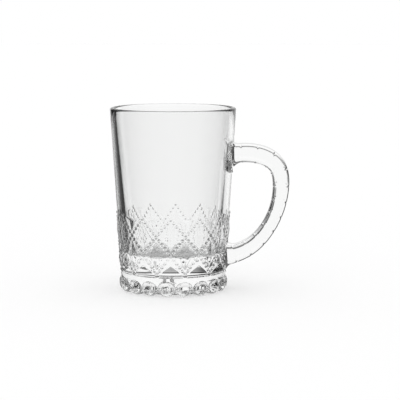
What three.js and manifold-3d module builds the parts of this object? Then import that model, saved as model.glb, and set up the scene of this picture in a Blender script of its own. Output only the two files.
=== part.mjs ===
import * as THREE from 'three';
import { mergeVertices } from 'three/addons/utils/BufferGeometryUtils.js';
import { ConvexGeometry } from 'three/addons/geometries/ConvexGeometry.js';
import { ParametricGeometry } from 'three/addons/geometries/ParametricGeometry.js';
import Module from 'manifold-3d';

// Beer mug of clear pressed glass, in millimetres. +Z is up, the handle points along +X and the origin is the
// middle of the flat base. Turns are in degrees around Z, from the front (-Y) towards the handle (+X).

// Bowl
const height = 116;
const rimRadius = 40;
const waistRadius = 33.3;
const lipThickness = 3.2;
const floorHeight = 24.2;
const floorWall = 5.8;
const floorRound = 2.2;
const roundSegments = 72;

// Foot ring
const footHeight = 10.5;
const baseRadius = 24;
const ringClearance = 0.3;
const webRadius = 32.4;
const webLift = 1.8;
const footBeads = 18;
const footBeadPhase = 14.8;
const footBeadGap = 0.7;
const footBeadReach = 34.5;
const footBeadExponent = 3;
const footBeadFlat = 0.2;
const footBeadSides = 14;

// Lattice of diamonds edged with beads
const columns = 12;
const peakHeight = 49.2;
const rowPitch = 11.4;
const knobHeight = 14.2;
const edgeBeads = 4;
const diamondRelief = 1.1;
const seatDepth = 1.4;
const triangleApexDrop = 3;
const beadRadius = 0.85;
const crossingRadius = 1;
const knobRadius = 1.55;
const beadSink = 0.25;

// Handle, whose bends are shares of the reach from the wall and of the rise from lower to upper root
const upperRootHeight = 86;
const lowerRootHeight = 20.6;
const handleReach = 31.7;
const bendShares = [[0.44, 1.01], [0.88, 0.9], [1, 0.66], [0.82, 0.32], [0.43, 0.1]];
const handleDepth = 12.5;
const upperWidth = 12.2;
const middleWidth = 10.2;
const lowerWidth = 12.4;
const handleExponent = 5;
const cutExponent = 2.8;
const cutLength = 1.6;
const sectionSides = 16;
const thumbCuts = 12;
const rootSink = 5;
const rootFlareSide = 4;
const rootFlareInner = 4;
const rootFlareOuter = 1.5;
const rootReach = 3.5;
const flareSteps = 4;
const landMargin = 1;
const handleClearance = 0.3;

// Meshing and glass
const mergeTolerance = 1e-4;
const arcPoints = 3;
const glassColour = 'mintcream';
const glassRoughness = 0.05;
const glassOpacity = 0.4;

const rowHeights = [peakHeight, peakHeight - rowPitch, peakHeight - 2 * rowPitch, knobHeight];
const columnTurn = 360 / columns;
const wallSlope = (rimRadius - waistRadius) / (height - footHeight);

const wasm = await Module();
wasm.setup();

function wallRadius(z) {
  return waistRadius + wallSlope * (z - footHeight);
}

function onWall(turn, z, lift = 0) {
  const angle = THREE.MathUtils.degToRad(turn);
  const radius = wallRadius(z) + lift;
  return new THREE.Vector3(radius * Math.sin(angle), -radius * Math.cos(angle), z);
}

// Sine or cosine of a superellipse: an exponent of 2 is an ellipse, and a higher one fills its corners.
function rounded(value, exponent) {
  return Math.sign(value) * Math.abs(value) ** (2 / exponent);
}

// Closed geometry to solid: shared vertices are merged, and triangles that shrink to a line are dropped.
function solidOf(geometry) {
  const bare = geometry.clone();
  bare.deleteAttribute('normal');
  bare.deleteAttribute('uv');
  const merged = mergeVertices(bare, mergeTolerance);
  const corners = [];
  for (let i = 0; i < merged.index.count; i += 3) {
    const [a, b, c] = [0, 1, 2].map((k) => merged.index.getX(i + k));
    if (a !== b && b !== c && c !== a) {
      corners.push(a, b, c);
    }
  }
  return new wasm.Manifold(new wasm.Mesh({
    numProp: 3,
    vertProperties: new Float32Array(merged.attributes.position.array),
    triVerts: new Uint32Array(corners),
  }));
}

function geometryOf(solid) {
  const mesh = solid.getMesh();
  const geometry = new THREE.BufferGeometry();
  geometry.setAttribute('position', new THREE.BufferAttribute(new Float32Array(mesh.vertProperties), 3));
  geometry.setIndex(new THREE.BufferAttribute(new Uint32Array(mesh.triVerts), 1));
  return geometry;
}

function joined(solids) {
  return solids.reduce((sum, solid) => sum.add(solid));
}

function turnedSolid(profile) {
  return solidOf(new THREE.LatheGeometry(profile, roundSegments).rotateX(Math.PI / 2));
}

function boxSolid(sizeX, sizeY, sizeZ, centre) {
  return solidOf(new THREE.BoxGeometry(sizeX, sizeY, sizeZ).translate(centre.x, centre.y, centre.z));
}

// Tapered wall, half-round lip, cup with a rounded floor corner, and the base inside the foot ring.
function plainBowl() {
  const lip = lipThickness / 2;
  const floorRadius = wallRadius(floorHeight) - floorWall;
  const path = new THREE.Path();
  path.moveTo(0, 0);
  path.lineTo(baseRadius, 0);
  path.lineTo(baseRadius, footHeight);
  path.lineTo(waistRadius, footHeight);
  path.lineTo(rimRadius, height - lip);
  path.absarc(rimRadius - lip, height - lip, lip, 0, Math.PI, false);
  path.lineTo(floorRadius, floorHeight + floorRound);
  path.absarc(floorRadius - floorRound, floorHeight + floorRound, floorRound, 0, -Math.PI / 2, true);
  path.lineTo(0, floorHeight);
  return turnedSolid(path.getPoints(arcPoints));
}

// A raised facet block: its corners lie on the wall, its top stands above it and its back is in the glass.
function facetBlock(corners, top) {
  const backs = corners.map(([turn, z]) => onWall(turn, z, -seatDepth));
  const edges = corners.map(([turn, z]) => onWall(turn, z));
  return solidOf(new ConvexGeometry([...edges, ...backs, onWall(top[0], top[1], diamondRelief)]));
}

function latticeFacets() {
  const [peak, upper, lower, knob] = rowHeights;
  const half = columnTurn / 2;
  const blocks = [];
  for (let column = 0; column < columns; column += 1) {
    const even = column * columnTurn;
    const odd = even + half;
    const upperDiamond = [[even, peak], [even - half, upper], [even, lower], [even + half, upper]];
    const lowerDiamond = [[odd, upper], [odd - half, lower], [odd, knob], [odd + half, lower]];
    const hangingTriangle = [[odd - half, peak], [odd, upper], [odd + half, peak]];
    const standingTriangle = [[even, lower], [even - half, knob], [even + half, knob]];
    blocks.push(facetBlock(upperDiamond, [even, upper]));
    blocks.push(facetBlock(lowerDiamond, [odd, lower]));
    blocks.push(facetBlock(hangingTriangle, [odd, peak - triangleApexDrop]));
    blocks.push(facetBlock(standingTriangle, [even, (lower + knob) / 2]));
  }
  return joined(blocks);
}

function wallBead(geometry, turn, z) {
  const place = onWall(turn, z, -beadSink);
  const outward = onWall(turn, z).setZ(0).normalize();
  const facing = new THREE.Quaternion().setFromUnitVectors(new THREE.Vector3(0, 1, 0), outward);
  return solidOf(geometry.clone().applyQuaternion(facing).translate(place.x, place.y, place.z));
}

// Beads follow both diagonals from row to row, with a larger bead at each crossing and a knob at each foot.
function latticeBeads() {
  const small = new THREE.OctahedronGeometry(beadRadius);
  const crossing = new THREE.OctahedronGeometry(crossingRadius);
  const knob = new THREE.IcosahedronGeometry(knobRadius);
  const beads = [];
  for (let row = 0; row < rowHeights.length; row += 1) {
    const last = row === rowHeights.length - 1;
    for (let column = 0; column < columns; column += 1) {
      const turn = (column + (row % 2) / 2) * columnTurn;
      beads.push(wallBead(last ? knob : crossing, turn, rowHeights[row]));
      for (let step = 1; step <= edgeBeads && !last; step += 1) {
        const share = step / (edgeBeads + 1);
        const z = THREE.MathUtils.lerp(rowHeights[row], rowHeights[row + 1], share);
        beads.push(wallBead(small, turn - share * columnTurn / 2, z));
        beads.push(wallBead(small, turn + share * columnTurn / 2, z));
      }
    }
  }
  return joined(beads);
}

// The lower root of the handle covers the lattice, so the relief stops short of it.
function rootLand() {
  const top = lowerRootHeight + lowerWidth / 2 + rootFlareInner + landMargin;
  const width = handleDepth + 2 * (rootFlareSide + landMargin);
  const centre = new THREE.Vector3(wallRadius(top), 0, (top + footHeight) / 2);
  return boxSolid(2 * width, width, top - footHeight, centre);
}

function bowlSolid() {
  const relief = latticeFacets().add(latticeBeads()).subtract(rootLand());
  return plainBowl().add(relief);
}

// Ring of round beads on a web, with small flats underneath to stand on.
function footRingSolid() {
  const inner = baseRadius + ringClearance;
  const web = turnedSolid([
    new THREE.Vector2(inner, webLift),
    new THREE.Vector2(webRadius, webLift),
    new THREE.Vector2(webRadius, footHeight),
    new THREE.Vector2(inner, footHeight),
    new THREE.Vector2(inner, webLift),
  ]);
  const size = footHeight - footBeadGap + footBeadFlat;
  const centreRadius = (footBeadReach + inner) / 2;
  const halfDepth = (footBeadReach - inner) / 2;
  const profile = [];
  for (let step = 0; step <= footBeadSides / 2; step += 1) {
    const angle = Math.PI * (2 * step / footBeadSides - 0.5);
    const across = rounded(Math.cos(angle), footBeadExponent) * size / 2;
    profile.push(new THREE.Vector2(across, rounded(Math.sin(angle), footBeadExponent) * halfDepth));
  }
  const beads = [];
  for (let index = 0; index < footBeads; index += 1) {
    const bead = new THREE.LatheGeometry(profile, footBeadSides);
    bead.translate(0, -centreRadius, size / 2 - footBeadFlat);
    bead.rotateZ(THREE.MathUtils.degToRad(footBeadPhase + index * 360 / footBeads));
    beads.push(solidOf(bead));
  }
  const above = boxSolid(4 * rimRadius, 4 * rimRadius, height, new THREE.Vector3(0, 0, height / 2));
  return web.add(joined(beads)).intersect(above);
}

function handleCurve() {
  const rise = upperRootHeight - lowerRootHeight;
  const point = (out, z) => new THREE.Vector3(wallRadius(z) + out, 0, z);
  return new THREE.CatmullRomCurve3([
    point(-rootSink, upperRootHeight),
    ...bendShares.map(([out, up]) => point(out * handleReach, lowerRootHeight + up * rise)),
    point(-rootSink, lowerRootHeight),
  ]);
}

// Places along the curve that get a section, as shares of its length, each with its section's exponent: three
// at each thumb cut, one between cuts, and more where the roots flare.
function handleStations(length) {
  const stations = [];
  const halfCut = cutLength / 2 / length;
  for (let cut = 0; cut <= thumbCuts; cut += 1) {
    const share = cut / thumbCuts;
    const inner = cut > 0 && cut < thumbCuts;
    stations.push([share, inner ? cutExponent : handleExponent]);
    if (inner) {
      stations.push([share - halfCut, handleExponent], [share + halfCut, handleExponent]);
      stations.push([share + 0.5 / thumbCuts, handleExponent]);
    }
  }
  for (let step = 1; step <= flareSteps; step += 1) {
    const share = step / (flareSteps + 1) / thumbCuts;
    stations.push([share, handleExponent], [1 - share, handleExponent]);
  }
  return stations.sort((a, b) => a[0] - b[0]);
}

// Strap with a rounded rectangle as its section, nicked at the thumb cuts and flared towards the wall. The
// first and last rows shrink to a point inside the glass, so the surface is closed.
function handleSweep() {
  const curve = handleCurve();
  const stations = handleStations(curve.getLength());
  const widths = new THREE.SplineCurve([upperWidth, upperWidth, middleWidth, middleWidth, lowerWidth]
    .map((width, index) => new THREE.Vector2(index, width)));
  const rows = stations.length + 1;
  return new ParametricGeometry((u, v, target) => {
    const row = Math.round(u * rows);
    const open = row > 0 && row < rows ? 1 : 0;
    const [along, exponent] = stations[THREE.MathUtils.clamp(row - 1, 0, stations.length - 1)];
    const centre = curve.getPointAt(along);
    const tangent = curve.getTangentAt(along);
    const across = new THREE.Vector3(tangent.z, 0, -tangent.x);
    const gap = Math.max(0, centre.x - wallRadius(centre.z));
    const flare = Math.exp(-((gap / rootReach) ** 2));
    const angle = -2 * Math.PI * v;
    const edgeFlare = Math.cos(angle) > 0 ? rootFlareInner : rootFlareOuter;
    const halfWidth = widths.getPoint(along).y / 2 + edgeFlare * flare;
    const halfDepth = handleDepth / 2 + rootFlareSide * flare;
    target.copy(centre);
    target.addScaledVector(across, open * halfWidth * rounded(Math.cos(angle), exponent));
    target.y += open * halfDepth * rounded(Math.sin(angle), exponent);
  }, rows, sectionSides);
}

// The roots are cut to the wall's taper, with a small clearance.
function handleSolid() {
  const wall = turnedSolid([
    new THREE.Vector2(0, 0),
    new THREE.Vector2(wallRadius(0) + handleClearance, 0),
    new THREE.Vector2(wallRadius(height) + handleClearance, height),
    new THREE.Vector2(0, height),
  ]);
  return solidOf(handleSweep()).subtract(wall);
}

function glassMesh(name, solid) {
  const glass = new THREE.MeshStandardMaterial({
    color: glassColour,
    roughness: glassRoughness,
    transparent: true,
    opacity: glassOpacity,
  });
  const mesh = new THREE.Mesh(geometryOf(solid), glass);
  mesh.name = name;
  return mesh;
}

const mug = new THREE.Group();
mug.name = 'beer_mug';
mug.add(glassMesh('bowl', bowlSolid()));
mug.add(glassMesh('foot_ring', footRingSolid()));
mug.add(glassMesh('handle', handleSolid()));

export default mug;
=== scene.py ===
import math

import bpy
import numpy as np
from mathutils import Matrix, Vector


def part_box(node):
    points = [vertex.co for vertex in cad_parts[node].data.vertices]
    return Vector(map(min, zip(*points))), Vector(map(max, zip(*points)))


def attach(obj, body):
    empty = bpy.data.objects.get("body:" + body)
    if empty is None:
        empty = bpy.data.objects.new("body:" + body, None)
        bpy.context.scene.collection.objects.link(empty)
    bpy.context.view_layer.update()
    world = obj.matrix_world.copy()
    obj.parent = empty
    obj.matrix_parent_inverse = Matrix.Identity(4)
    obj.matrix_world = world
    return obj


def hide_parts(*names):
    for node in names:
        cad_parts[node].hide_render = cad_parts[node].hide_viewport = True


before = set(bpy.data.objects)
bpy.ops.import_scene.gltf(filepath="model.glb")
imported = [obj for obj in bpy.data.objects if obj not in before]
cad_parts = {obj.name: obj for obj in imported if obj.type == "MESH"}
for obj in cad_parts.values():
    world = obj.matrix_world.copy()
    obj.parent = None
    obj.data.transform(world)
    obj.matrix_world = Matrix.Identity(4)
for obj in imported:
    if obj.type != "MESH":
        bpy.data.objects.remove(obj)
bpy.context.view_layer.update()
mm = 0.001

# The bowl's and foot's main sizes come from the frame, in metres.
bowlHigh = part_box("bowl")[1]
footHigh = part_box("foot_ring")[1]
height = bowlHigh.z
rimRadius = bowlHigh.y
footHeight = footHigh.z
footReach = footHigh.x
waistRadius = 33.3 * mm
wallSlope = (rimRadius - waistRadius) / (height - footHeight)

# Turns run from the front (-Y) towards the handle (+X).
turnSteps = 600
turns = np.arange(turnSteps) * 2 * np.pi / turnSteps


# The wall is a cone: its radius grows evenly with the height over the foot.
def wallRadius(z):
    return waistRadius + wallSlope * (z - footHeight)


def smoothStep(low, high, value):
    share = np.clip((value - low) / (high - low), 0, 1)
    return share * share * (3 - 2 * share)


# A soft maximum: the larger of two values, rounded over the width where they cross.
def softMax(a, b, width):
    share = np.clip(0.5 + (a - b) / (2 * width), 0, 1)
    return b + (a - b) * share + width * share * (1 - share)


def aroundAxis(radius, z):
    radius, z, turn = np.broadcast_arrays(radius, z, turns)
    return np.stack([radius * np.sin(turn), -radius * np.cos(turn), z], axis=-1)


# Rows of points to mesh: each row is a closed loop, neighbours are joined by quads, and the ends are capped.
def gridMesh(name, points):
    rows, loop = points.shape[:2]
    index = np.arange(rows * loop).reshape(rows, loop)
    here, beside = index[:-1], np.roll(index[:-1], -1, axis=1)
    above, aboveBeside = index[1:], np.roll(index[1:], -1, axis=1)
    quads = np.stack([here, beside, aboveBeside, above], axis=-1).reshape(-1, 4)
    caps = [index[0][::-1].tolist(), index[-1].tolist()]
    mesh = bpy.data.meshes.new(name)
    mesh.from_pydata(points.reshape(-1, 3), [], quads.tolist() + caps)
    mesh.polygons.foreach_set("use_smooth", np.ones(len(mesh.polygons), dtype=bool))
    mesh.update()
    return mesh


def addObject(name, mesh):
    thing = bpy.data.objects.new(name, mesh)
    bpy.context.scene.collection.objects.link(thing)
    return thing


lattice = {
    "columns": 12,
    "rows": np.array([49.2, 37.8, 26.4, 14.2]) * mm,
    "relief": 1.1 * mm,
    "standingRelief": 1.2 * mm,
    "bandDepth": 0.2 * mm,
    "ridgeRound": 0.12 * mm,
    "topApexDrop": 3 * mm,
    "bottomApex": 20 * mm,
    "bottomEdge": 13 * mm,
    "grooveHeight": 13 * mm,
    "grooveReach": 0.9 * mm,
    "grooveDepth": 0.35 * mm,
    "edgeBeads": 4,
    "beadReach": 1.35 * mm,
    "crossingReach": 1.5 * mm,
    "knobReach": 2 * mm,
    "beadShares": [0.43, 0.5, 0.5],
    "rowsPerBead": 7,
}
halfColumn = np.pi / lattice["columns"]


# Turn from the nearest column: even rows have a column in front, odd rows are half a column round.
def columnTurn(turn, odd):
    pitch = 2 * halfColumn
    return (turn + pitch * (0.5 - 0.5 * odd)) % pitch - pitch / 2


# Radius of the plane through three points, each given as turn, height and radius. It is one minus c times the
# height, over a times the sine plus b times the cosine of the turn, with a, b and c solved from the points.
def facetRadius(turn, z, corners):
    rows = [[r * math.sin(t), r * math.cos(t), h] for t, h, r in corners]
    a, b, c = np.linalg.solve(np.array(rows), np.ones(3))
    return (1 - c * z) / (a * np.sin(np.abs(turn)) + b * np.cos(turn))


# A pyramid's four sides are planes, and its surface is their soft minimum. It starts under the wall by the
# band's depth, so that a flat band is left along its edges for the beads.
def pyramidRadius(turn, z, top, bottom, middle):
    apex = (0, middle, wallRadius(middle) + lattice["relief"])
    side = (halfColumn, middle, wallRadius(middle))
    upper = facetRadius(turn, z, [apex, side, (0, top, wallRadius(top))])
    lower = facetRadius(turn, z, [apex, side, (0, bottom, wallRadius(bottom))])
    return -softMax(-upper, -lower, lattice["ridgeRound"]) - lattice["bandDepth"]


# Half a diamond that hangs from a level edge, as two slanting planes and one that slopes up to the edge.
def hangingRadius(turn, z, top, bottom):
    middle = top - lattice["topApexDrop"]
    apex = (0, middle, wallRadius(middle) + lattice["relief"])
    corner = (halfColumn, top, wallRadius(top))
    slant = facetRadius(turn, z, [apex, corner, (0, bottom, wallRadius(bottom))])
    edge = wallRadius(top) + lattice["relief"] * (top - z) / lattice["topApexDrop"]
    return -softMax(-slant, -edge, lattice["ridgeRound"]) - lattice["bandDepth"]


# Half a diamond that stands on the waist: it rises from its two slanting edges and from its foot.
def standingRadius(turn, z, top, bottom):
    apex = lattice["bottomApex"]
    full = (top - apex) / (top - bottom)
    inside = ((top - z) / (top - bottom) - np.abs(turn) / halfColumn) / full
    base = (z - lattice["bottomEdge"]) / (apex - lattice["bottomEdge"])
    return wallRadius(z) + lattice["standingRelief"] * np.minimum(inside, base) - lattice["bandDepth"]


# Beads stand along both diagonals of each row, larger at the crossings, largest at the lowest row and
# flattest in the top row. A bead rises as one minus the squared share of its reach, squared again, so that
# it runs out smoothly into the band.
def beadRise(turn, z):
    rows = lattice["rows"]
    steps = lattice["edgeBeads"] + 1
    out = np.zeros(np.broadcast_shapes(turn.shape, z.shape))
    for row in range(len(rows) - 1):
        local = np.abs(columnTurn(turn, row % 2))
        for step in range(steps + 1):
            beadHeight = rows[row] + (rows[row + 1] - rows[row]) * step / steps
            reach = lattice["beadReach"] if 0 < step < steps else lattice["crossingReach"]
            reach = lattice["knobReach"] if row + 2 == len(rows) and step == steps else reach
            across = wallRadius(beadHeight) * (local - halfColumn * step / steps)
            room = np.clip(1 - (across ** 2 + (z - beadHeight) ** 2) / reach ** 2, 0, 1)
            out = np.maximum(out, lattice["beadShares"][row] * reach * room ** 2)
    return out


# The lattice is the highest of wall, diamonds and beads. A groove runs round the waist and fades under the
# knobs.
def latticeRadius(turn, z):
    peak, upper, lower, knob = lattice["rows"]
    even, odd = columnTurn(turn, 0), columnTurn(turn, 1)
    relief = np.maximum(wallRadius(z), pyramidRadius(even, z, peak, lower, upper))
    relief = np.maximum(relief, pyramidRadius(odd, z, upper, knob, lower))
    relief = np.maximum(relief, hangingRadius(odd, z, peak, upper))
    relief = np.maximum(relief, standingRadius(even, z, lower, knob))
    across = np.clip(1 - ((z - lattice["grooveHeight"]) / lattice["grooveReach"]) ** 2, 0, 1)
    groove = lattice["grooveDepth"] * across ** 2
    rise = beadRise(turn, z)
    beads = wallRadius(z) + rise - groove * np.clip(1 - rise / lattice["grooveDepth"], 0, 1)
    return np.maximum(relief - groove, beads)


bowl = {
    "lipThickness": 3.2 * mm,
    "floorHeight": 24.2 * mm,
    "floorWall": 5.8 * mm,
    "floorRound": 2.2 * mm,
    "floorRings": [0.7, 0.3, 0.02],
    "latticeMargin": 2.2 * mm,
    "waistRound": 0.6 * mm,
    "waistRows": 3,
    "marginRows": 6,
    "wallRows": 16,
    "lipRows": 9,
    "insideRows": 8,
    "roundRows": 7,
}


# The bowl's rows run up the outside, over the half-round lip and down the inside to the middle of the floor.
def bowlRows():
    rows = lattice["rows"]
    steps = (lattice["edgeBeads"] + 1) * lattice["rowsPerBead"]
    margin = bowl["latticeMargin"]
    heights = [np.linspace(footHeight + bowl["waistRound"], rows[-1] - margin, bowl["waistRows"])]
    heights.append(np.linspace(rows[-1] - margin, rows[-1], bowl["marginRows"])[1:])
    for low, high in zip(rows[:0:-1], rows[-2::-1]):
        heights.append(np.linspace(low, high, steps + 1)[1:])
    heights.append(np.linspace(rows[0], rows[0] + margin, bowl["marginRows"])[1:])
    lip = bowl["lipThickness"] / 2
    heights.append(np.linspace(rows[0] + margin, height - lip, bowl["wallRows"])[1:])
    z = np.concatenate(heights)[:, None]
    outside = aroundAxis(latticeRadius(turns[None, :], z), z)
    over = np.linspace(0, np.pi, bowl["lipRows"])[1:, None]
    lipLoop = aroundAxis(wallRadius(height) - lip + lip * np.cos(over), height - lip + lip * np.sin(over))
    floorRadius = wallRadius(bowl["floorHeight"]) - bowl["floorWall"]
    roundOff = bowl["floorRound"]
    share = np.linspace(0, 1, bowl["insideRows"])[1:, None]
    topRadius, topHeight = wallRadius(height) - 2 * lip, height - lip
    inside = aroundAxis(topRadius + (floorRadius - topRadius) * share,
                        topHeight + (bowl["floorHeight"] + roundOff - topHeight) * share)
    corner = np.linspace(0, np.pi / 2, bowl["roundRows"])[1:, None]
    floorCorner = aroundAxis(floorRadius - roundOff + roundOff * np.cos(corner),
                             bowl["floorHeight"] + roundOff - roundOff * np.sin(corner))
    floor = aroundAxis(floorRadius * np.array(bowl["floorRings"])[:, None], bowl["floorHeight"])
    return np.concatenate([outside, lipLoop, inside, floorCorner, floor])


# The base's rings are shares of its radius, with their heights.
foot = {
    "beads": 18,
    "phase": math.radians(14.8),
    "exponent": 3,
    "baseRadius": 24 * mm,
    "baseRings": [(0.02, 0), (0.5, 0), (0.97, 0), (1, 0.05 * mm)],
    "webRadius": 32 * mm,
    "webLean": math.radians(14),
    "webLift": 3 * mm,
    "gap": 0.7 * mm,
    "flat": 0.2 * mm,
    "blend": 0.5 * mm,
    "start": math.radians(-165),
    "end": math.radians(52),
    "rows": 56,
}


# The foot's section turns round the middle of a bead. A bead is a thick coin, so its section shrinks with the
# distance along the ring: depth by the coin's exponent and height by a circle. The web between beads leans in
# from the waist downwards.
def footRows():
    inner = foot["baseRadius"]
    size = footHeight - foot["gap"] + foot["flat"]
    middleRadius = (footReach + inner) / 2
    middleHeight = size / 2 - foot["flat"]
    pitch = 2 * np.pi / foot["beads"]
    local = (turns - foot["phase"] + pitch / 2) % pitch - pitch / 2
    along = np.clip(np.abs(local) * middleRadius / (size / 2), 0, 1)
    power = foot["exponent"]
    depth = (footReach - inner) / 2 * (1 - along ** power) ** (1 / power)
    rise = size / 2 * np.sqrt(1 - along ** 2)
    angle = np.linspace(foot["start"], foot["end"], foot["rows"])[:, None]
    cosine, sine = np.cos(angle), np.sin(angle)
    lean = foot["webLean"]
    tiny = 1e-6
    bead = np.abs(cosine / (depth + tiny)) ** power + np.abs(sine / (rise + tiny)) ** power
    bead = bead ** (-1 / power)
    sides = [
        ((foot["webRadius"] - middleRadius) * math.cos(lean), np.cos(angle + lean)),
        (middleHeight - foot["webLift"], -sine),
        (middleRadius - inner, -cosine),
        (footHeight - middleHeight, sine),
    ]
    web = np.min([room / np.maximum(part, tiny) for room, part in sides], axis=0)
    reach = softMax(bead, web, foot["blend"])
    radius = middleRadius + reach * cosine
    z = np.maximum(middleHeight + reach * sine, 0)
    share, lift = np.array(foot["baseRings"]).T[..., None]
    return np.concatenate([aroundAxis(inner * share, lift), aroundAxis(radius, z)])


# The bends are shares of the reach from the wall and of the rise from lower to upper root.
handle = {
    "upperRoot": 86 * mm,
    "lowerRoot": 20.6 * mm,
    "reach": 31.5 * mm,
    "bends": [(0.44, 1.01), (0.88, 0.9), (1, 0.66), (0.82, 0.32), (0.43, 0.1)],
    "depth": 12.5 * mm,
    "widths": [12.2 * mm, 12.2 * mm, 10.2 * mm, 10.2 * mm, 12.4 * mm],
    "innerExponent": 3,
    "outerExponent": 6,
    "cutExponent": 3.6,
    "cutLength": 1.6 * mm,
    "thumbCuts": 12,
    "rootSink": 4 * mm,
    "sideFillet": 4 * mm,
    "innerFillet": 6 * mm,
    "outerFillet": 3.5 * mm,
    "filletOverlap": 0.25 * mm,
    "rows": 420,
    "sides": 72,
}


# Smooth curve through points: a cubic spline over the chord length, its second derivatives solved at once.
def spline(points, count):
    points = np.array(points)
    steps = np.linalg.norm(np.diff(points, axis=0), axis=1)
    knots = np.concatenate([[0], np.cumsum(steps)])
    size = len(points)
    matrix = np.eye(size)
    right = np.zeros_like(points)
    slopes = np.diff(points, axis=0) / steps[:, None]
    for i in range(1, size - 1):
        matrix[i, i - 1:i + 2] = steps[i - 1], 2 * (steps[i - 1] + steps[i]), steps[i]
        right[i] = 6 * (slopes[i] - slopes[i - 1])
    bend = np.linalg.solve(matrix, right)
    where = np.linspace(0, knots[-1], count)
    piece = np.clip(np.searchsorted(knots, where, side="right") - 1, 0, size - 2)
    step = steps[piece][:, None]
    after = ((where - knots[piece]) / steps[piece])[:, None]
    before = 1 - after
    line = before * points[piece] + after * points[piece + 1]
    cubic = (before ** 3 - before) * bend[piece] + (after ** 3 - after) * bend[piece + 1]
    return line + cubic * step ** 2 / 6


# How far a fillet of this radius stands off its wall at a given gap from the other wall.
def fillet(gap, radius):
    left = np.clip(radius - gap, 0, radius)
    return radius - np.sqrt(radius ** 2 - left ** 2)


# The strap's section is a rounded rectangle carried along the curve. Its corners are nicked at the thumb
# cuts, and near the wall each point moves outwards by a quarter-round fillet.
def handleRows():
    rise = handle["upperRoot"] - handle["lowerRoot"]
    place = [(-handle["rootSink"], handle["upperRoot"])]
    place += [(out * handle["reach"], handle["lowerRoot"] + up * rise) for out, up in handle["bends"]]
    place += [(-handle["rootSink"], handle["lowerRoot"])]
    rows = handle["rows"]
    centre = spline([(wallRadius(z) + out, z) for out, z in place], rows)
    tangent = np.gradient(centre, axis=0)
    tangent /= np.linalg.norm(tangent, axis=1)[:, None]
    unit = np.stack([tangent[:, 1], -tangent[:, 0]], axis=1)[:, None, :]
    halfWidth = spline(list(enumerate(handle["widths"])), rows)[:, 1:] / 2
    length = np.linalg.norm(np.diff(centre, axis=0), axis=1).sum()
    pitch = length / handle["thumbCuts"]
    along = np.linspace(0, length, rows)[:, None]
    fromCut = np.abs((along + pitch / 2) % pitch - pitch / 2)
    nick = smoothStep(handle["cutLength"] / 2, 0, fromCut)
    angle = -np.linspace(0, 2 * np.pi, handle["sides"], endpoint=False)[None, :]
    exponent = np.where(np.cos(angle) > 0, handle["innerExponent"], handle["outerExponent"])
    power = 2 / (exponent + (handle["cutExponent"] - exponent) * nick)
    wide = np.sign(np.cos(angle)) * np.abs(np.cos(angle)) ** power
    deep = np.sign(np.sin(angle)) * np.abs(np.sin(angle)) ** power
    flat = centre[:, None, :] + unit * (halfWidth * wide)[..., None]
    y = handle["depth"] / 2 * deep
    gap = np.hypot(flat[..., 0], y) - wallRadius(flat[..., 1]) + handle["filletOverlap"]
    edge = np.where(wide > 0, fillet(gap, handle["innerFillet"]), fillet(gap, handle["outerFillet"]))
    flat = flat + unit * (edge * wide)[..., None]
    y = y + fillet(gap, handle["sideFillet"]) * deep
    return np.stack([flat[..., 0], y, flat[..., 1]], axis=-1)


print("stage: glass surfaces")
footPoints = footRows()
bodyMesh = gridMesh("body", np.concatenate([footPoints, bowlRows()]))
body = addObject("body", bodyMesh)
strapMesh = gridMesh("strap", handleRows())
strap = addObject("strap", strapMesh)


class Nodes:
    def __init__(self, tree):
        self.tree = tree
        tree.nodes.clear()

    def add(self, kind, settings, sockets, out=0):
        node = self.tree.nodes.new(kind)
        for name, value in settings.items():
            if name == "stops":
                self.setStops(node.color_ramp, value)
            else:
                setattr(node, name, value)
        for name, value in sockets.items():
            if isinstance(value, Value):
                self.tree.links.new(value.socket, node.inputs[name])
            else:
                node.inputs[name].default_value = value
        return Value(self, node.outputs[out]) if len(node.outputs) else node

    def setStops(self, ramp, stops):
        while len(ramp.elements) < len(stops):
            ramp.elements.new(1)
        for element, (position, level) in zip(ramp.elements, stops):
            element.position = position
            element.color = (level, level, level, 1)


class Value:
    def __init__(self, nodes, socket):
        self.nodes = nodes
        self.socket = socket

    def maths(self, operation, first, second):
        return self.nodes.add("ShaderNodeMath", {"operation": operation}, {0: first, 1: second})

    def __add__(self, other):
        return self.maths("ADD", self, other)

    def __radd__(self, other):
        return self.maths("ADD", other, self)

    def __sub__(self, other):
        return self.maths("SUBTRACT", self, other)

    def __rsub__(self, other):
        return self.maths("SUBTRACT", other, self)

    def __mul__(self, other):
        return self.maths("MULTIPLY", self, other)

    def __rmul__(self, other):
        return self.maths("MULTIPLY", other, self)


glass = {
    "tint": (0.99, 0.991, 0.99, 1),
    "deepTint": (0.978, 0.982, 0.98, 1),
    "shadowTint": (0.97, 0.97, 0.97, 1),
    "ior": 1.5,
    "polish": (0.002, 0.01),
    "cordsPerMetre": 45,
    "cordDetail": 1.0,
    "waveDepth": 0.03 * mm,
    "specksPerMetre": 900,
    "speckDetail": 2.0,
}


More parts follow.
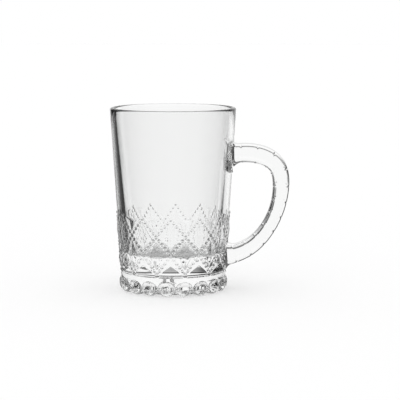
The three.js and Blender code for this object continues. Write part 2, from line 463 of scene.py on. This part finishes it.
# Pressed glass: faint cords change the tint and bend the surface in slow waves, and fine specks dull the
# polish. Shadow rays pass it with little loss.
def glassMaterial():
    material = bpy.data.materials.new("clearGlass")
    material.use_nodes = True
    nodes = Nodes(material.node_tree)
    place = nodes.add("ShaderNodeTexCoord", {}, {}, "Object")
    cords = nodes.add("ShaderNodeTexNoise", {}, {
        "Vector": place,
        "Scale": glass["cordsPerMetre"],
        "Detail": glass["cordDetail"],
    })
    specks = nodes.add("ShaderNodeTexNoise", {}, {
        "Vector": place,
        "Scale": glass["specksPerMetre"],
        "Detail": glass["speckDetail"],
    })
    tint = nodes.add("ShaderNodeMixRGB", {}, {0: cords, 1: glass["tint"], 2: glass["deepTint"]})
    finest, dullest = glass["polish"]
    waves = nodes.add("ShaderNodeBump", {}, {"Height": cords, "Distance": glass["waveDepth"]})
    surface = nodes.add("ShaderNodeBsdfPrincipled", {}, {
        "Base Color": tint,
        "Roughness": finest + (dullest - finest) * specks,
        "IOR": glass["ior"],
        "Transmission Weight": 1.0,
        "Normal": waves,
    })
    clear = nodes.add("ShaderNodeBsdfTransparent", {}, {"Color": glass["shadowTint"]})
    shadow = nodes.add("ShaderNodeLightPath", {}, {}, "Is Shadow Ray")
    mixed = nodes.add("ShaderNodeMixShader", {}, {0: shadow, 1: surface, 2: clear})
    nodes.add("ShaderNodeOutputMaterial", {}, {"Surface": mixed})
    return material


print("stage: joining the handle to the wall")
clearGlass = glassMaterial()
bowlIndex, footIndex, handleIndex = 0, 1, 2


# One surface without walls inside the glass: the strap is joined to the body, and each face brings along the
# material index of its piece. The body's last face but one is the cap under the foot.
def joinedGlass():
    index = np.full(len(bodyMesh.polygons), bowlIndex, dtype=np.int32)
    index[:(len(footPoints) - 1) * turnSteps] = footIndex
    index[-2] = footIndex
    bodyMesh.polygons.foreach_set("material_index", index)
    index = np.full(len(strapMesh.polygons), handleIndex, dtype=np.int32)
    strapMesh.polygons.foreach_set("material_index", index)
    for mesh in (bodyMesh, strapMesh):
        for slot in (bowlIndex, footIndex, handleIndex):
            mesh.materials.append(clearGlass)
    union = body.modifiers.new("union", "BOOLEAN")
    union.operation = "UNION"
    union.solver = "MANIFOLD"
    union.object = strap
    graph = bpy.context.evaluated_depsgraph_get()
    return bpy.data.meshes.new_from_object(body.evaluated_get(graph))


whole = joinedGlass()
bpy.data.objects.remove(body)
bpy.data.objects.remove(strap)
print("faces", len(whole.polygons), "vertices", len(whole.vertices))


def valuesOf(items, name, width=1, kind=np.int32):
    values = np.zeros(len(items) * width, dtype=kind)
    items.foreach_get(name, values)
    return values


# Chosen faces of a mesh as a mesh of their own, which takes over the corner normals where they are asked for.
def partOf(source, indices, name, keepNormals):
    faces = valuesOf(source.polygons, "material_index")
    chosen = np.isin(faces, indices)
    totals = valuesOf(source.polygons, "loop_total")
    corners = valuesOf(source.loops, "vertex_index")
    points = valuesOf(source.vertices, "co", 3, float).reshape(-1, 3)
    mine = np.repeat(chosen, totals)
    used, local = np.unique(corners[mine], return_inverse=True)
    sizes = totals[chosen]
    mesh = bpy.data.meshes.new(name)
    mesh.vertices.add(len(used))
    mesh.vertices.foreach_set("co", points[used].ravel())
    mesh.loops.add(len(local))
    mesh.loops.foreach_set("vertex_index", local.astype(np.int32))
    mesh.polygons.add(len(sizes))
    mesh.polygons.foreach_set("loop_start", (np.cumsum(sizes) - sizes).astype(np.int32))
    mesh.polygons.foreach_set("use_smooth", np.ones(len(sizes), dtype=bool))
    mesh.polygons.foreach_set("material_index", faces[chosen])
    mesh.update(calc_edges=True)
    if keepNormals:
        normals = valuesOf(source.corner_normals, "vector", 3, float).reshape(-1, 3)
        mesh.normals_split_custom_set(normals[mine])
    return mesh


def addPiece(name, node, mesh):
    mesh.materials.append(clearGlass)
    mesh.polygons.foreach_set("material_index", np.zeros(len(mesh.polygons), dtype=np.int32))
    piece = addObject(name, mesh)
    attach(piece, "root")
    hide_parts(node)
    print(name, "triangles", int((valuesOf(mesh.polygons, "loop_total") - 2).sum()))


# Bowl and foot are shaded together, and the strap apart, so that the wall stays even up to the strap.
wall = partOf(whole, [bowlIndex, footIndex], "wall", False)
addPiece("mug_bowl", "bowl", partOf(wall, [bowlIndex], "mug_bowl", True))
addPiece("mug_foot", "foot_ring", partOf(wall, [footIndex], "mug_foot", True))
addPiece("mug_handle", "handle", partOf(whole, [handleIndex], "mug_handle", False))

# Stops are pairs of a place and a level. "around" goes by the turn in degrees from straight behind the mug,
# "above" and "overFlags" by degrees over the horizon, and the rest by the distance from the mug's axis.
print("stage: floor, light and camera")
studio = {
    "floorHalf": 6.0,
    "floorDrop": 0.1 * mm,
    "floorColour": (0.9, 0.9, 0.9, 1),
    "domeLevel": 0.55,
    "sunLevel": 1.75,
    "sunSpread": math.radians(60),
    "around": [
        (-180, 0.4), (-130, 0.25), (-100, 0.1), (-78, 0.05), (-43, 0.05), (-35, 0.12), (-29, 0.34),
        (-25, 0.6), (-20, 1), (40, 1), (44, 0.9), (48, 0.25), (52, 0.05), (60, 0.05), (72, 0.03),
        (90, 0.03), (110, 0.06), (130, 0.4), (180, 0.4),
    ],
    "above": [(-2, 1), (2, 0.6), (4.5, 0.4), (7, 0.12), (20, 0.12), (32, 0.6), (50, 1), (90, 1)],
    "topLean": 0.2,
    "overFlags": [(-2, 0), (12, 0), (28, 0.6), (40, 1), (90, 1)],
    "lowReflected": 0.8,
    # A painted shadow in the floor's glow to the glass, darkest under the mug.
    "paintedShadow": [(0, 0.15), (10 * mm, 0.2), (20 * mm, 0.33), (26 * mm, 0.6), (32 * mm, 1), (100 * mm, 1)],
    "far": [(0, 0), (36 * mm, 0), (48 * mm, 0.88), (120 * mm, 0.88), (200 * mm, 1), (400 * mm, 1)],
    "farDirect": [(0, 0), (350 * mm, 0), (700 * mm, 1), (800 * mm, 1)],
    "flagsDirect": 0.8,
    "bounces": 32,
}


# A level by angle, for angles of half the span to either side of zero.
def angleRamp(nodes, stops, angle, span):
    places = [(0.5 + place / span, level) for place, level in stops]
    return nodes.add("ShaderNodeValToRGB", {"stops": places}, {0: angle * (1 / math.radians(span)) + 0.5})


# A level by distance, up to the last stop.
def radiusRamp(nodes, stops, radius):
    span = stops[-1][0]
    places = [(place / span, level) for place, level in stops]
    return nodes.add("ShaderNodeValToRGB", {"stops": places}, {0: radius * (1 / span)})


# 1 for light that was reflected on its way through the glass, 0 for light that came straight through.
def bounced(nodes):
    depth = nodes.add("ShaderNodeLightPath", {}, {}, "Glossy Depth")
    return depth.maths("MINIMUM", depth, 1.0)


# To the glass the floor glows with painted light: white round the foot, with painted dark flags farther out,
# and a painted shadow under the mug, where the mug would shade it. Straight light meets the painted flags
# only far out, and reflected light from close to the foot.
def addFloor():
    half, z = studio["floorHalf"], -studio["floorDrop"]
    mesh = bpy.data.meshes.new("floor")
    corners = [(-half, -half, z), (half, -half, z), (half, half, z), (-half, half, z)]
    mesh.from_pydata(corners, [], [(0, 1, 2, 3)])
    material = bpy.data.materials.new("paleFloor")
    material.use_nodes = True
    nodes = Nodes(material.node_tree)
    place = nodes.add("ShaderNodeTexCoord", {}, {}, "Object")
    x, y = [nodes.add("ShaderNodeSeparateXYZ", {}, {0: place}, axis) for axis in "XY"]
    radius = x.maths("SQRT", x * x + y * y, 0.0)
    # Painted shadow under the mug, by the distance from its axis.
    paintedShadow = radiusRamp(nodes, studio["paintedShadow"], radius)
    far = radiusRamp(nodes, studio["far"], radius)
    farDirect = radiusRamp(nodes, studio["farDirect"], radius)
    flags = angleRamp(nodes, studio["around"], x.maths("ARCTAN2", x, y), 360)
    direct = 1 - (1 - flags) * farDirect * studio["flagsDirect"]
    reflected = 1 - (1 - flags) * far
    level = direct + (reflected - direct) * bounced(nodes)
    # The floor's painted glow, seen only by the glass: painted flags times the painted shadow.
    glow = nodes.add("ShaderNodeEmission", {}, {"Color": level * paintedShadow})
    matte = nodes.add("ShaderNodeBsdfDiffuse", {}, {"Color": studio["floorColour"]})
    glossy = nodes.add("ShaderNodeLightPath", {}, {}, "Is Glossy Ray")
    through = nodes.add("ShaderNodeLightPath", {}, {}, "Is Transmission Ray")
    fromGlass = glossy.maths("MAXIMUM", glossy, through)
    surface = nodes.add("ShaderNodeMixShader", {}, {0: fromGlass, 1: matte, 2: glow})
    nodes.add("ShaderNodeOutputMaterial", {}, {"Surface": surface})
    mesh.materials.append(material)
    addObject("floor", mesh)


# The sun lights the floor from above and isn't seen in the glass.
def addSun():
    data = bpy.data.lights.new("key", "SUN")
    data.energy = studio["sunLevel"]
    data.angle = studio["sunSpread"]
    lamp = bpy.data.objects.new("key", data)
    lamp.visible_glossy = False
    lamp.visible_transmission = False
    bpy.context.scene.collection.objects.link(lamp)


# The world is white to the camera and a soft dome to the floor. To the glass it is white overhead, with dark
# flags low down on both sides, and straight light also meets a dark band just over the horizon.
def addWorld():
    world = bpy.data.worlds.new("studio")
    bpy.context.scene.world = world
    world.use_nodes = True
    nodes = Nodes(world.node_tree)
    direction = nodes.add("ShaderNodeTexCoord", {}, {}, "Generated")
    x, y, z = [nodes.add("ShaderNodeSeparateXYZ", {}, {0: direction}, axis) for axis in "XYZ"]
    lift = z.maths("ARCSINE", z, 0.0)
    flags = angleRamp(nodes, studio["around"], x.maths("ARCTAN2", x, y), 360)
    over = angleRamp(nodes, studio["overFlags"], lift, 180)
    above = angleRamp(nodes, studio["above"], lift, 180) + x * studio["topLean"]
    direct = above * (over + (1 - over) * flags)
    reflected = over + (1 - over) * flags * studio["lowReflected"]
    glassLevel = direct + (reflected - direct) * bounced(nodes)
    seen = nodes.add("ShaderNodeLightPath", {}, {}, "Is Camera Ray")
    diffuse = nodes.add("ShaderNodeLightPath", {}, {}, "Is Diffuse Ray")
    level = seen + (1 - seen) * (glassLevel + (studio["domeLevel"] - glassLevel) * diffuse)
    shine = nodes.add("ShaderNodeBackground", {}, {"Color": level})
    nodes.add("ShaderNodeOutputWorld", {}, {"Surface": shine})


# The camera's place and lens are fitted to the photograph, whose frame is square.
camera = {
    "distance": 1.0,
    "height": 182.2 * mm,
    "azimuth": math.radians(2.71),
    "pan": math.radians(0.976),
    "pitch": math.radians(7.14),
    "focalShare": 1583 / 400,
    "sensor": 36,
}


def addCamera():
    data = bpy.data.cameras.new("camera")
    data.sensor_width = camera["sensor"]
    data.lens = data.sensor_width * camera["focalShare"]
    eye = bpy.data.objects.new("camera", data)
    distance, around = camera["distance"], camera["azimuth"]
    heading, pitch = camera["pan"] - around, camera["pitch"]
    eye.location = (distance * math.sin(around), -distance * math.cos(around), camera["height"])
    ahead = (math.sin(heading) * math.cos(pitch), math.cos(heading) * math.cos(pitch), -math.sin(pitch))
    eye.rotation_mode = "QUATERNION"
    eye.rotation_quaternion = Vector(ahead).to_track_quat("-Z", "Y")
    bpy.context.scene.collection.objects.link(eye)
    bpy.context.scene.camera = eye


addFloor()
addSun()
addWorld()
addCamera()
scene = bpy.context.scene
scene.view_settings.view_transform = "Standard"
scene.cycles.max_bounces = studio["bounces"]
scene.cycles.transmission_bounces = studio["bounces"]
scene.cycles.transparent_max_bounces = studio["bounces"]

print("stage: done")
